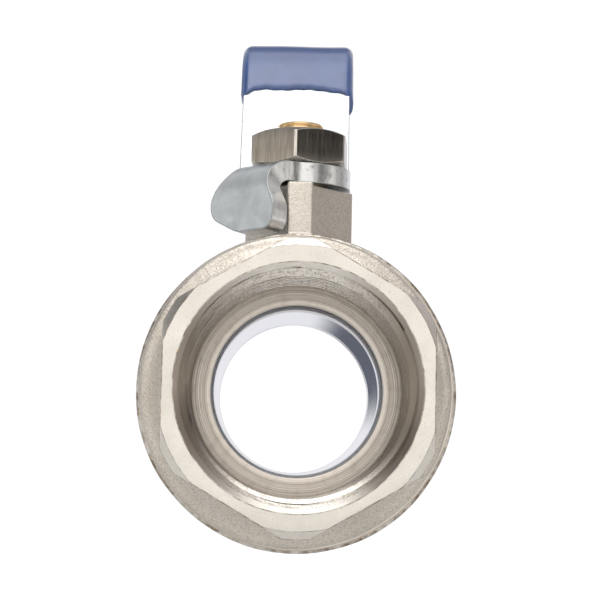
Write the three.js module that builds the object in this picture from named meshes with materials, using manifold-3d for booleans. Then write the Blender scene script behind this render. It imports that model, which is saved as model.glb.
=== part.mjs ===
// Lever-operated two-piece ball valve with female pipe threads, bore DN 32, drawn in its open position.
// Millimetres, +Z up along the stem, flow along Y, origin where the flow axis crosses the stem axis.
import * as THREE from "three";
import { mergeVertices } from "three/addons/utils/BufferGeometryUtils.js";
import Module from "manifold-3d";

const wasm = await Module();
wasm.setup();

// Driving dimensions
const halfLength = 40; // stem axis to either end face
const hexAcrossFlats = 48;
const hexTurnedRadius = 26.4; // corners turned down to this
const hexChamferRadius = 24.96; // where the corner chamfer meets the end face
const hexLength = 13.5;
const portRadius = 16.1;
const threadMouthRadius = 21.9;
const threadCrestRadius = 20.1; // at the mouth, slightly tapered
const threadEndRadius = 19.48;
const threadDepth = 18;
const shelfThickness = 2;
const ballRadius = 23.5;
const ballPortRadius = 15.4;
const seatPocketRadius = 21.8;
const seatRadius = 21.5;
const seatBoreRadius = 16.6;
const seatLip = 13.2; // nearest a seat comes to the stem axis
const chamberRadius = 24.3;
const bodyRingRadius = 30.2;
const bodyBarrelRadius = 28.6;
const collarRadius = 29.3;
const jointPlane = -18.9; // the body's end face, where the end cap's collar meets it
const spigotRadius = 25.4;
const spigotEnd = -11;
const gap = 0.3; // between touching pieces

const neckTop = 41.1;
const neckHalfWidth = 10.7;
const neckFlat = 9.44; // stem axis to each slanted flat
const ribHalfWidth = 2.5;
const ribReach = 14.4; // stem axis to the outer face of a stop rib
const stemRadius = 6;
const stemBoreRadius = 6.2;
const stemFlangeRadius = 8;
const stemFlangeBottom = 24.4;
const stemFlangeTop = 27;
const stemShoulder = 41.4;
const stemFlatsHalf = 4.6; // stem axis to each driving flat
const stemThreadRadius = 4.9;
const stemTop = 55.3;
const stemChamfer = 0.4;
const tangWidth = 6;
const tangLength = 13;
const slotFloor = 18.4;
const washerThickness = 1.5;
const oRingHeights = [32.6, 37.2];
const oRingWire = 1.3;
const oRingGrooveRadius = 4.3;
const oRingGrooveWidth = 2.4;

const plateBottom = 41.7;
const plateThickness = 4;
const hubRadius = 10.4;
const riseStart = 11.5;
const riseAngle = THREE.MathUtils.degToRad(70);
const riseLength = 28.35;
const bendRadius = 6; // of both bends, to the middle of the strip
const leverEnd = 132;
const leverHalfWidth = 11.76;
const leverOffset = -1.4; // the strip's middle from the stem axis; its right edge runs on from the hub
const leverTurn = THREE.MathUtils.degToRad(-1.8); // off the flow axis, at the open stop
const gripCorner = 9;
const bendSteps = 6; // facets in each bend
const dipStart = 21.7; // the vinyl starts this far up the rise
const sleeveGap = 0.15;
const sleeveReach = 0.75; // outside of the vinyl from the steel

const tabAngle = THREE.MathUtils.degToRad(-135); // the stop tab points this way from the stem
const tabInside = 12.4; // stem axis to the tab's inner face
const tabBendRadius = 2.8; // inside the bend
const tabBottom = 31.2;
const tabFlare = THREE.MathUtils.degToRad(5);
const tabNeckHalfWidth = 6.1;
const tabFootHalfWidth = 8.2;

const nutAcrossFlats = 18.8;
const nutBottom = 46;
const nutHeight = 7;
const nutTurn = THREE.MathUtils.degToRad(-6.1);

const ROUND = 40; // sides of the large round pieces
const SMALL_ROUND = 28;

// Materials
const finish = (name, color, roughness, metalness) =>
  Object.assign(new THREE.MeshStandardMaterial({ color, roughness, metalness }), { name });
const nickelCast = finish("nickel_cast", 0xc9c1b6, 0.45, 1);
const nickelTurned = finish("nickel_turned", 0xbdb4a6, 0.25, 1);
const chrome = finish("ball_chrome", 0xd4d7dc, 0.08, 1);
const brass = finish("stem_brass", 0xc79a55, 0.3, 1);
const zincSteel = finish("lever_zinc", 0xc3c9cc, 0.3, 1);
const blueVinyl = finish("grip_vinyl", 0x2b4796, 0.35, 0);
const ptfe = finish("seat_ptfe", 0xeeeeea, 0.5, 0);
const rubber = finish("seal_rubber", 0x1d1d1f, 0.6, 0);

// A closed geometry as a manifold solid, turned right way out if its profile ran backwards.
function solid(geometry) {
  const plain = geometry.index ? geometry.toNonIndexed() : geometry.clone();
  plain.deleteAttribute("normal");
  plain.deleteAttribute("uv");
  const merged = mergeVertices(plain, 1e-4);
  const triVerts = new Uint32Array(merged.index.array);
  const vertProperties = merged.attributes.position.array;
  const made = new wasm.Manifold(new wasm.Mesh({ numProp: 3, vertProperties, triVerts }));
  if (made.volume() > 0) return made;
  for (let i = 0; i < triVerts.length; i += 3) {
    [triVerts[i + 1], triVerts[i + 2]] = [triVerts[i + 2], triVerts[i + 1]];
  }
  return new wasm.Manifold(new wasm.Mesh({ numProp: 3, vertProperties, triVerts }));
}

function geometryOf(manifold) {
  const mesh = manifold.getMesh();
  const positions = new Float32Array(mesh.numVert * 3);
  for (let i = 0; i < mesh.numVert; i++) {
    positions.set(mesh.vertProperties.subarray(i * mesh.numProp, i * mesh.numProp + 3), i * 3);
  }
  const geometry = new THREE.BufferGeometry();
  geometry.setAttribute("position", new THREE.BufferAttribute(positions, 3));
  geometry.setIndex(new THREE.BufferAttribute(mesh.triVerts, 1));
  geometry.computeVertexNormals();
  return geometry;
}

// A solid of revolution about the flow axis from [radius, y] corners; the outline closes on itself.
function turnedOnFlow(corners, sides = ROUND) {
  const outline = [...corners, corners[0]].map(([r, y]) => new THREE.Vector2(r, y));
  return solid(new THREE.LatheGeometry(outline, sides));
}

// The same about the stem axis, from [radius, z] corners.
function turnedOnStem(corners, sides = SMALL_ROUND) {
  const outline = [...corners, corners[0]].map(([r, z]) => new THREE.Vector2(r, z));
  return solid(new THREE.LatheGeometry(outline, sides).rotateX(Math.PI / 2));
}

function block(sizeX, sizeY, sizeZ, x, y, z) {
  return solid(new THREE.BoxGeometry(sizeX, sizeY, sizeZ).translate(x, y, z));
}

// A shape in the XY plane carried up from z0 to z1.
function upright(shape, z0, z1, curveSegments = 8) {
  const options = { depth: z1 - z0, bevelEnabled: false, curveSegments };
  return solid(new THREE.ExtrudeGeometry(shape, options).translate(0, 0, z0));
}

// A hexagon bar along the flow axis with its corners turned round and chamfered at the end face.
function hexEnd(faceY, innerY) {
  const length = Math.abs(innerY - faceY);
  const cornerRadius = hexAcrossFlats / 2 / Math.cos(Math.PI / 6);
  const middle = (faceY + innerY) / 2;
  const bar = solid(
    new THREE.CylinderGeometry(cornerRadius, cornerRadius, length, 6).translate(0, middle, 0),
  );
  const inward = Math.sign(innerY - faceY);
  const chamferDepth = (hexTurnedRadius - hexChamferRadius) * 0.7;
  const turned = turnedOnFlow([
    [0, faceY - inward],
    [hexChamferRadius, faceY - inward],
    [hexChamferRadius, faceY],
    [hexTurnedRadius, faceY + inward * chamferDepth],
    [hexTurnedRadius, innerY + inward],
    [0, innerY + inward],
  ]);
  return bar.intersect(turned);
}

// What a threaded socket, its shelf, port and seat pocket take out, from the end face inwards.
function socketCut(side) {
  const face = side * halfLength;
  const shelf = side * (halfLength - threadDepth);
  const pocketFloor = side * (halfLength - threadDepth - shelfThickness);
  return turnedOnFlow([
    [0, face + side],
    [threadMouthRadius + 1, face + side],
    [threadMouthRadius, face],
    [threadCrestRadius, face - side * 1.7],
    [threadEndRadius, shelf],
    [portRadius, shelf],
    [portRadius, pocketFloor],
    [seatPocketRadius, pocketFloor],
    [seatPocketRadius, side * 10.5],
    [0, side * 10.5],
  ]);
}

function endCap() {
  const hexInner = -halfLength + hexLength;
  const outside = turnedOnFlow([
    [0, hexInner - 1],
    [23.2, hexInner - 1],
    [25.2, hexInner + 1.6],
    [28.1, -23.2],
    [collarRadius, -22.2],
    [collarRadius, jointPlane - gap],
    [spigotRadius, jointPlane - gap],
    [spigotRadius, spigotEnd],
    [0, spigotEnd],
  ]);
  return hexEnd(-halfLength, hexInner).add(outside).subtract(socketCut(-1));
}

// The neck that carries the stem: a square bar on its corner with cut corners and two stop ribs.
function neckShape() {
  const cut = neckFlat * Math.SQRT2 - neckHalfWidth;
  const shape = new THREE.Shape();
  shape.moveTo(neckHalfWidth, -cut);
  shape.lineTo(neckHalfWidth, cut);
  shape.lineTo(cut, neckHalfWidth);
  shape.lineTo(-cut, neckHalfWidth);
  shape.lineTo(-neckHalfWidth, cut);
  shape.lineTo(-neckHalfWidth, -cut);
  shape.lineTo(-cut, -neckHalfWidth);
  shape.lineTo(cut, -neckHalfWidth);
  return shape;
}

function body() {
  const hexInner = halfLength - hexLength;
  const outside = turnedOnFlow([
    [0, jointPlane],
    [bodyRingRadius - 0.7, jointPlane],
    [bodyRingRadius, jointPlane + 0.7],
    [bodyRingRadius, -12.6],
    [bodyBarrelRadius, -11],
    [bodyBarrelRadius, 11],
    [27.6, 16.5],
    [25.4, 22],
    [23.2, hexInner + 1],
    [0, hexInner + 1],
  ]);
  const neckFoot = 20;
  const ribTop = neckTop - 0.3;
  const ribHeight = ribTop - neckFoot;
  const ribs = block(2 * ribHalfWidth, 2 * ribReach, ribHeight, 0, 0, neckFoot + ribHeight / 2);
  const neck = upright(neckShape(), neckFoot, neckTop).add(ribs);
  const chamber = turnedOnFlow([
    [0, jointPlane - 1],
    [28.4, jointPlane - 1],
    [28.4, jointPlane + 1.5],
    [spigotRadius + gap, jointPlane + 1.5],
    [spigotRadius + gap, spigotEnd + 0.5],
    [chamberRadius, spigotEnd + 0.5],
    [chamberRadius, 8],
    [seatPocketRadius, 11],
    [0, 11],
  ]);
  const washerSeat = stemFlangeTop + washerThickness + 2 * gap;
  const stemBore = turnedOnStem([
    [0, 10],
    [stemFlangeRadius + 0.6, 10],
    [stemFlangeRadius + 0.6, washerSeat],
    [stemBoreRadius, washerSeat],
    [stemBoreRadius, neckTop - 0.8],
    [stemBoreRadius + 0.8, neckTop],
    [stemBoreRadius + 0.8, neckTop + 1],
    [0, neckTop + 1],
  ]);
  return hexEnd(halfLength, hexInner)
    .add(outside)
    .add(neck)
    .subtract(chamber)
    .subtract(socketCut(1))
    .subtract(stemBore);
}

// The ring that seals the end cap's collar to the body.
function jointSeal() {
  return turnedOnFlow([
    [26, jointPlane],
    [28.1, jointPlane],
    [28.1, jointPlane + 1.2],
    [26, jointPlane + 1.2],
  ]);
}

// A seat whose inner face follows the ball.
function seat(side) {
  const back = side * (halfLength - threadDepth - shelfThickness - gap);
  const reach = ballRadius + gap;
  const facePoints = 4;
  const face = [];
  const outerRadius = Math.sqrt(reach ** 2 - seatLip ** 2);
  for (let i = 0; i <= facePoints; i++) {
    const radius = outerRadius + ((seatBoreRadius - outerRadius) * i) / facePoints;
    face.push([radius, side * Math.sqrt(reach ** 2 - radius ** 2)]);
  }
  return turnedOnFlow([
    [seatBoreRadius, back],
    [seatRadius, back],
    [seatRadius, side * seatLip],
    ...face,
  ]);
}

function ball() {
  const edge = Math.sqrt(ballRadius ** 2 - ballPortRadius ** 2);
  const startAngle = Math.asin(edge / ballRadius);
  const arcPoints = 14;
  const chamfer = 0.5;
  const outline = [];
  for (let i = 0; i <= arcPoints; i++) {
    const angle = startAngle * (1 - (2 * i) / arcPoints) * 0.985;
    outline.push([ballRadius * Math.cos(angle), ballRadius * Math.sin(angle)]);
  }
  const sphere = turnedOnFlow([
    [ballPortRadius, edge - chamfer],
    ...outline,
    [ballPortRadius, -edge + chamfer],
  ]);
  const slotHeight = ballRadius + 1 - slotFloor;
  const slotMiddle = slotFloor + slotHeight / 2;
  const slot = block(2 * ballRadius + 2, tangWidth + 2 * gap, slotHeight, 0, 0, slotMiddle);
  return sphere.subtract(slot);
}

function stem() {
  const grooves = oRingHeights.flatMap((height) => [
    [stemRadius, height - oRingGrooveWidth / 2],
    [oRingGrooveRadius, height - oRingGrooveWidth / 2],
    [oRingGrooveRadius, height + oRingGrooveWidth / 2],
    [stemRadius, height + oRingGrooveWidth / 2],
  ]);
  const flatsTop = plateBottom + plateThickness - 0.2;
  const shaft = turnedOnStem([
    [0, stemFlangeBottom],
    [stemFlangeRadius, stemFlangeBottom],
    [stemFlangeRadius, stemFlangeTop],
    [stemRadius, stemFlangeTop],
    ...grooves,
    [stemRadius, flatsTop],
    [stemThreadRadius, flatsTop],
    [stemThreadRadius, stemTop - stemChamfer],
    [stemThreadRadius - stemChamfer, stemTop],
    [0, stemTop],
  ]);
  const tangBottom = slotFloor + gap;
  const tangTop = stemFlangeBottom + 0.5;
  const tang = block(tangLength, tangWidth, tangTop - tangBottom, 0, 0, (tangTop + tangBottom) / 2);
  const flatsMiddle = (stemShoulder + flatsTop) / 2;
  const cheekWidth = stemRadius - stemFlatsHalf + 1;
  const cheekHeight = flatsTop - stemShoulder;
  let made = shaft.add(tang);
  for (const side of [-1, 1]) {
    const x = side * (stemFlatsHalf + cheekWidth / 2);
    made = made.subtract(block(cheekWidth, 2 * stemRadius + 2, cheekHeight, x, 0, flatsMiddle));
  }
  return made;
}

function thrustWasher() {
  const bottom = stemFlangeTop + gap;
  return turnedOnStem([
    [stemRadius + gap, bottom],
    [stemFlangeRadius, bottom],
    [stemFlangeRadius, bottom + washerThickness],
    [stemRadius + gap, bottom + washerThickness],
  ]);
}

function oRing(height) {
  const middle = (oRingGrooveRadius + stemBoreRadius) / 2;
  const sides = 6;
  const outline = [];
  for (let i = 0; i < sides; i++) {
    const angle = (2 * Math.PI * i) / sides;
    const out = (oRingWire / 2) * Math.cos(angle);
    const up = (oRingWire / 2) * Math.sin(angle);
    outline.push([middle + out, height + up]);
  }
  return turnedOnStem(outline, 20);
}

// A [y, z] outline carried across X, with its middle at x = 0.
function acrossX(points, width) {
  const shape = new THREE.Shape(points.map(([y, z]) => new THREE.Vector2(y, z)));
  const geometry = new THREE.ExtrudeGeometry(shape, { depth: width, bevelEnabled: false });
  // The shape's x runs along Y, its y along Z, and the depth along X.
  const basis = new THREE.Matrix4().makeBasis(
    new THREE.Vector3(0, 1, 0),
    new THREE.Vector3(0, 0, 1),
    new THREE.Vector3(1, 0, 0),
  );
  return solid(geometry.applyMatrix4(basis).translate(-width / 2, 0, 0));
}

// The lever strip's run: points [y, z, slope] along its middle from the hub to the grip's end.
function leverRun() {
  const hubMiddle = plateBottom + plateThickness / 2;
  const run = [[-30, hubMiddle, 0]];
  for (let i = 0; i <= bendSteps; i++) {
    const slope = (riseAngle * i) / bendSteps;
    const y = riseStart + bendRadius * Math.sin(slope);
    const z = hubMiddle + bendRadius * (1 - Math.cos(slope));
    run.push([y, z, slope]);
  }
  const [footY, footZ] = run.at(-1);
  const upRise = (length) => [footY + length * Math.cos(riseAngle), footZ + length * Math.sin(riseAngle)];
  run.push([...upRise(dipStart), riseAngle]);
  const [crestY, crestZ] = upRise(riseLength);
  for (let i = 0; i <= bendSteps; i++) {
    const slope = riseAngle * (1 - i / bendSteps);
    const y = crestY + bendRadius * (Math.sin(riseAngle) - Math.sin(slope));
    const z = crestZ + bendRadius * (Math.cos(slope) - Math.cos(riseAngle));
    run.push([y, z, slope]);
  }
  run.push([leverEnd + 5, run.at(-1)[1], 0]);
  return run;
}

// The strip of the given thickness along part of the run, wider than the lever ever gets.
function strip(run, thickness) {
  const beside = (distance) =>
    run.map(([y, z, slope]) => [y - distance * Math.sin(slope), z + distance * Math.cos(slope)]);
  const above = beside(thickness / 2);
  const below = beside(-thickness / 2);
  return acrossX([...above, ...below.reverse()], 40);
}

// The lever's outline seen from above, grown all round by the given reach.
function leverPlan(reach) {
  const shape = new THREE.Shape();
  const hub = hubRadius + reach;
  const end = leverEnd + reach;
  const right = leverOffset + leverHalfWidth + reach;
  const left = leverOffset - leverHalfWidth - reach;
  const corner = gripCorner + reach;
  shape.absarc(0, 0, hub, Math.PI, 2 * Math.PI, false);
  shape.lineTo(right, 4);
  shape.lineTo(right, end - corner);
  shape.absarc(right - corner, end - corner, corner, 0, Math.PI / 2, false);
  shape.absarc(left + corner, end - corner, corner, Math.PI / 2, Math.PI, false);
  shape.lineTo(left, 12);
  shape.bezierCurveTo(left, 5, -hub, 5, -hub, 0);
  return shape;
}

// The stop tab, bent down from the hub, made pointing along -Y and then turned to its place.
function stopTab() {
  const plateTop = plateBottom + plateThickness;
  const bendZ = plateBottom - tabBendRadius;
  const bendY = tabBendRadius - tabInside;
  const bent = Math.PI / 2 - tabFlare;
  const fall = 1.2 * (bendZ - tabBottom);
  const face = (radius) => {
    const points = [];
    for (let i = 0; i <= bendSteps; i++) {
      const turn = (bent * i) / bendSteps;
      points.push([bendY - radius * Math.sin(turn), bendZ + radius * Math.cos(turn)]);
    }
    const [y, z] = points.at(-1);
    points.push([y - fall * Math.sin(tabFlare), z - fall * Math.cos(tabFlare)]);
    return points;
  };
  const outside = face(tabBendRadius + plateThickness);
  const inside = face(tabBendRadius);
  const width = 30;
  const bentStrip = acrossX([[-4, plateTop], ...outside, ...inside.reverse(), [-4, plateBottom]], width);
  // Its outline seen from outside: a waist under the bend and a wide rounded foot.
  const front = new THREE.Shape();
  const waist = tabNeckHalfWidth;
  const foot = tabFootHalfWidth;
  front.moveTo(-waist, plateTop + 1);
  front.lineTo(-waist, plateBottom - 1.5);
  front.bezierCurveTo(-waist, plateBottom - 3.5, -foot, plateBottom - 4, -foot, plateBottom - 6);
  front.bezierCurveTo(-foot, tabBottom + 1.2, -foot + 3, tabBottom, 0, tabBottom);
  front.bezierCurveTo(foot - 3, tabBottom, foot, tabBottom + 1.2, foot, plateBottom - 6);
  front.bezierCurveTo(foot, plateBottom - 4, waist, plateBottom - 3.5, waist, plateBottom - 1.5);
  front.lineTo(waist, plateTop + 1);
  const toFront = new THREE.Matrix4().makeBasis(
    new THREE.Vector3(1, 0, 0),
    new THREE.Vector3(0, 0, 1),
    new THREE.Vector3(0, -1, 0),
  );
  const options = { depth: width, bevelEnabled: false, curveSegments: 6 };
  const outlineBlock = solid(new THREE.ExtrudeGeometry(front, options).applyMatrix4(toFront));
  const tab = geometryOf(bentStrip.intersect(outlineBlock));
  return solid(tab.rotateZ(tabAngle + Math.PI / 2));
}

// A bent strip cut to the lever's outline.
function cutToPlan(bent, reach) {
  return bent.intersect(upright(leverPlan(reach), 30, 110, 12));
}

function lever() {
  const bar = cutToPlan(strip(leverRun(), plateThickness), 0);
  const turned = solid(geometryOf(bar).rotateZ(leverTurn));
  const hole = new THREE.Shape();
  const halfFlat = stemFlatsHalf + gap;
  const round = stemRadius + gap;
  const turn = Math.acos(halfFlat / round);
  hole.absarc(0, 0, round, turn, Math.PI - turn, false);
  hole.absarc(0, 0, round, Math.PI + turn, 2 * Math.PI - turn, false);
  return turned.add(stopTab()).subtract(upright(hole, plateBottom - 1, plateBottom + plateThickness + 1));
}

// The vinyl dipped over the grip, with the steel's own space left hollow.
function gripSleeve() {
  const riseFoot = bendSteps + 1; // where the straight rise begins; the vinyl begins at the next point
  const run = leverRun();
  const outer = cutToPlan(strip(run.slice(riseFoot + 1), plateThickness + 2 * sleeveReach), sleeveReach);
  const inner = cutToPlan(strip(run.slice(riseFoot), plateThickness + 2 * sleeveGap), sleeveGap);
  return solid(geometryOf(outer.subtract(inner)).rotateZ(leverTurn));
}

function handleNut() {
  const cornerRadius = nutAcrossFlats / 2 / Math.cos(Math.PI / 6);
  const top = nutBottom + nutHeight;
  const bar = solid(
    new THREE.CylinderGeometry(cornerRadius, cornerRadius, nutHeight, 6)
      .rotateX(Math.PI / 2)
      .rotateZ(nutTurn)
      .translate(0, 0, nutBottom + nutHeight / 2),
  );
  const crown = (cornerRadius - nutAcrossFlats / 2) * 0.6;
  const faceRadius = nutAcrossFlats / 2 - 0.2;
  const turned = turnedOnStem([
    [stemThreadRadius + gap, nutBottom],
    [faceRadius, nutBottom],
    [cornerRadius + 0.2, nutBottom + crown],
    [cornerRadius + 0.2, top - crown],
    [faceRadius, top],
    [stemThreadRadius + gap, top],
  ]);
  return bar.intersect(turned);
}

const valve = new THREE.Group();

function place(name, manifold, material) {
  const mesh = new THREE.Mesh(geometryOf(manifold), material);
  mesh.name = name;
  valve.add(mesh);
}

place("body", body(), nickelCast);
place("end_cap", endCap(), nickelCast);
place("joint_seal", jointSeal(), ptfe);
place("seat_front", seat(-1), ptfe);
place("seat_rear", seat(1), ptfe);
place("ball", ball(), chrome);
place("stem", stem(), brass);
place("thrust_washer", thrustWasher(), ptfe);
place("stem_o_ring_lower", oRing(oRingHeights[0]), rubber);
place("stem_o_ring_upper", oRing(oRingHeights[1]), rubber);
place("lever", lever(), zincSteel);
place("grip_sleeve", gripSleeve(), blueVinyl);
place("handle_nut", handleNut(), nickelTurned);

export default valve;
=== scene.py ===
"""A two-piece lever ball valve with female pipe threads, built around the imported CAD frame.

Lengths in this script are millimetres and become metres when a mesh is made. The flow axis is Y
and the stem axis Z.
"""
from math import acos, asin, atan2, ceil, cos, degrees, exp, pi, radians, sin, sqrt, tan

import bmesh
import bpy
from mathutils import Matrix, Vector


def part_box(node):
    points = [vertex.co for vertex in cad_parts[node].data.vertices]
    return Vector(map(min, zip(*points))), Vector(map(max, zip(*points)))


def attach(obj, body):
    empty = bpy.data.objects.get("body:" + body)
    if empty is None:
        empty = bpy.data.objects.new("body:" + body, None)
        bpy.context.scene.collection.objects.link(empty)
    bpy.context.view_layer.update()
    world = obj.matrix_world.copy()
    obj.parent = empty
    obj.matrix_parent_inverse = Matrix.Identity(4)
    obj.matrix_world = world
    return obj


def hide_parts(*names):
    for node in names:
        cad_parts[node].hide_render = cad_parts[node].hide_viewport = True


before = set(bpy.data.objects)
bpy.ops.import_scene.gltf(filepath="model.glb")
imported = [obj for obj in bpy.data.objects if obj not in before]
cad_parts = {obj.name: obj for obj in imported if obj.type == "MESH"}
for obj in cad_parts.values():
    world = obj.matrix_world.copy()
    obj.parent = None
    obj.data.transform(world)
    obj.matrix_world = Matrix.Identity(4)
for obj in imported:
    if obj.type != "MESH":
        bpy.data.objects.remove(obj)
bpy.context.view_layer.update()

MM = 0.001
WELD = 2e-6  # metres


# ---------------- sizes

def box_mm(node):
    low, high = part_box(node)
    return Vector(low) / MM, Vector(high) / MM


body_low, body_high = box_mm("body")
ball_high = box_mm("ball")[1]
stem_low, stem_high = box_mm("stem")
nut_low, nut_high = box_mm("handle_nut")

HALF_LENGTH = body_high.y  # stem axis to either end face
HEX_FLAT = 24.0  # flow axis to a flat
HEX_TURNED = 26.4  # the hexagon's corners are turned down to this
HEX_CHAMFER = 24.96  # where their chamfer meets the end face
HEX_CHAMFER_SLOPE = 0.7  # depth for each millimetre of radius
EDGE = 0.22  # radius of a machined edge

# a parallel pipe thread, 11 to the inch; radii here and below are from the flow axis
PIPE_PITCH = 25.4 / 11
PIPE_MAJOR = 20.955
PIPE_MINOR = 19.476
MOUTH = 21.9
MOUTH_SLOPE = 1.05  # radius lost for each millimetre of depth
SHELF_DEPTH = 18.0  # end face to the shelf that the pipe stops at
RELIEF_LENGTH = 1.1  # plain groove between the thread and the shelf
RELIEF_RADIUS = 20.5
PORT = 16.1
SEAT_FLOOR = 20.0  # stem axis to the floor of either seat pocket
SEAT_POCKET = 21.8
SEAT_LIP = 13.2  # stem axis to the outer corner of a seat's inner face
SEAT_BORE = 16.6
SEAT_RADIUS = 21.5
SEAT_GAP = 0.25  # round a seat ring
SEAL_BORE = 26.0  # of the seal between the end cap and the body

JOINT_Y = body_low.y  # where the body meets the end cap's collar
COLLAR = box_mm("end_cap")[1].x
COLLAR_EDGE = 1.3  # radius of its outer edge
RING = body_high.x
RING_EDGE = 0.55
BARREL = 28.6
CHAMBER = 24.3
SPIGOT = 25.4
BALL = ball_high.x
BALL_PORT = sqrt(BALL ** 2 - ball_high.y ** 2)  # the port's edge lies on the sphere
BALL_SLOT_FLOOR = 18.4
BALL_SLOT_HALF_WIDTH = 3.3

NECK_TOP = body_high.z
NECK_HALF_WIDTH = 10.7
NECK_FLAT = 9.44  # stem axis to a slanted flat
NECK_EDGE = 0.45
NECK_FILLET = 1.1
NECK_ROOT = 27.0  # the height, inside the barrel's wall, where the neck's solid starts
RIB_HALF_WIDTH = 2.5
RIB_REACH = 14.4
STEM_BORE = 6.2  # radii here and below are from the stem axis
STEM_RADIUS = 6.0
STEM_FLAT = 4.6  # stem axis to one of the two flats that turn the lever
STEM_FLATS_LOW = 41.4
STEM_THREAD = 4.9
STEM_PITCH = 1.0
STEM_THREAD_DEPTH = 0.5
STEM_CHAMFER = 0.35
FLANGE = 8.0
FLANGE_LOW, FLANGE_HIGH = 24.4, 27.0
FLANGE_EDGE = 0.3
O_RING_HEIGHTS = (32.6, 37.2)
O_RING_GROOVE_RADIUS = 4.3
O_RING_GROOVE_WIDTH = 2.4
TANG_WIDTH, TANG_THICKNESS, TANG_HIGH = 13, 6, 24.9
WASHER_BORE = 6.3

NUT_FLAT = 9.4  # stem axis to a side
NUT_TURN = radians(6.1)

PLATE_THICKNESS = 4.0
PLATE_BOTTOM = 41.7
PLATE_TOP = PLATE_BOTTOM + PLATE_THICKNESS
LEVER_TURN = radians(-1.8)

COLUMNS = 264  # steps round a large turned piece
MOST_MATERIALS = 5  # on one piece


# ---------------- mesh tools

def clean(mesh):
    bm = bmesh.new()
    bm.from_mesh(mesh)
    bmesh.ops.remove_doubles(bm, verts=bm.verts, dist=WELD)
    bmesh.ops.dissolve_degenerate(bm, edges=bm.edges, dist=WELD)
    bmesh.ops.recalc_face_normals(bm, faces=bm.faces)
    bm.to_mesh(mesh)
    bm.free()


def shade(mesh, sharp):
    mesh.polygons.foreach_set("use_smooth", [True] * len(mesh.polygons))
    mesh.set_sharp_from_angle(angle=radians(sharp))


def make_object(name, vertices, faces, zones=None, sharp=32):
    """A new object from points in mm; zones gives each face its material number."""
    mesh = bpy.data.meshes.new(name)
    mesh.from_pydata([(x * MM, y * MM, z * MM) for x, y, z in vertices], [], faces)
    if zones:
        mesh.polygons.foreach_set("material_index", zones)
    clean(mesh)
    shade(mesh, sharp)
    obj = bpy.data.objects.new(name, mesh)
    bpy.context.scene.collection.objects.link(obj)
    return obj


def combine(obj, other, operation, sharp=32):
    """obj united with or cut by another closed object, which is then removed."""
    while len(obj.data.materials) < MOST_MATERIALS:  # without slots the cut would lose the material numbers
        obj.data.materials.append(None)
    modifier = obj.modifiers.new("combine", "BOOLEAN")
    modifier.operation = operation
    modifier.solver = "MANIFOLD"
    modifier.object = other
    graph = bpy.context.evaluated_depsgraph_get()
    mesh = bpy.data.meshes.new_from_object(obj.evaluated_get(graph))
    obj.modifiers.clear()
    obj.data = mesh
    bpy.data.objects.remove(other)
    clean(mesh)
    shade(mesh, sharp)


def even(start, end, steps):
    """Evenly spaced values from start to end."""
    return [start + (end - start) * i / steps for i in range(steps + 1)]


def even_angles(count=COLUMNS):
    return even(0, 2 * pi, count)[:-1]


def ring_faces(rings, count):
    """Four-sided faces between rings of that many points, closed round but open at both ends."""
    faces = []
    for start in range(0, (rings - 1) * count, count):
        for i in range(count):
            j = (i + 1) % count
            faces.append((start + i, start + j, start + count + j, start + count + i))
    return faces


def block(name, x, y, z, size_x, size_y, size_z):
    """A plain box about its middle, only ever used to cut or to be built on."""
    corners = [(-1, -1), (1, -1), (1, 1), (-1, 1)]
    signs = [(a, b, c) for c in (-1, 1) for a, b in corners]
    points = [(x + a * size_x / 2, y + b * size_y / 2, z + c * size_z / 2) for a, b, c in signs]
    return make_object(name, points, [(0, 1, 2, 3), (4, 5, 6, 7)] + ring_faces(2, 4))


def turned(name, outline, angles, axis="Y", sharp=32):
    """A closed solid about an axis.

    outline(angle) is its closed outline at that angle, as (radius, along, zone) points.
    """
    vertices = []
    for angle in [*angles, 2 * pi]:  # at the last a helix has moved on by a pitch; it is then welded
        column = outline(angle)
        for radius, along, _ in column:
            across, up = radius * sin(angle), radius * cos(angle)
            vertices.append((across, along, up) if axis == "Y" else (across, up, along))
    faces = ring_faces(len(angles) + 1, len(column))
    zones = [zone for _, _, zone in column] * len(angles)
    return make_object(name, vertices, faces, zones, sharp)


def marked(zone, points):
    return [(a, b, zone) for a, b in points]


def arc(a, b, radius, start, end, steps):
    """Points on an arc about (a, b); angles in degrees."""
    turns = [radians(turn) for turn in even(start, end, steps)]
    return [(a + radius * cos(t), b + radius * sin(t)) for t in turns]


def quarter_round(radius, turn):
    """How far in and how far down an edge of that radius has gone after that many degrees."""
    return radius * (1 - cos(radians(turn))), radius * (1 - sin(radians(turn)))


def rounded(corners, steps=4):
    """A closed outline from (a, b, corner radius) points, with an arc in each corner."""
    points = []
    for i, (a, b, radius) in enumerate(corners):
        here = Vector((a, b))
        if radius == 0:
            points.append(here)
            continue
        before = (Vector(corners[i - 1][:2]) - here).normalized()
        after = (Vector(corners[(i + 1) % len(corners)][:2]) - here).normalized()
        half = before.angle(after) / 2
        centre = here + (before + after).normalized() * (radius / sin(half))
        start = here + before * (radius / tan(half)) - centre
        end = here + after * (radius / tan(half)) - centre
        sweep = pi - 2 * half
        for k in range(steps + 1):
            t = k / steps
            spoke = start * sin((1 - t) * sweep) + end * sin(t * sweep)
            points.append(centre + spoke / sin(sweep))
    return [tuple(p) for p in points]


# ---------------- threads and hexagons

THREAD_SHAPE = [  # (part of a pitch, height from -1 at the crest to 1 at the root)
    (0.0, -1.0), (0.07, -0.97), (0.11, -0.8), (0.25, 0.0), (0.39, 0.8), (0.43, 0.97),
    (0.5, 1.0), (0.57, 0.97), (0.61, 0.8), (0.75, 0.0), (0.89, -0.8), (0.93, -0.97), (1.0, -1.0),
]


def thread_height(part):
    """The thread's height that part of a pitch along."""
    part %= 1.0
    for (a, low), (b, high) in zip(THREAD_SHAPE, THREAD_SHAPE[1:]):
        if part <= b:
            return low + (high - low) * (part - a) / (b - a)
    return -1.0


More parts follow.
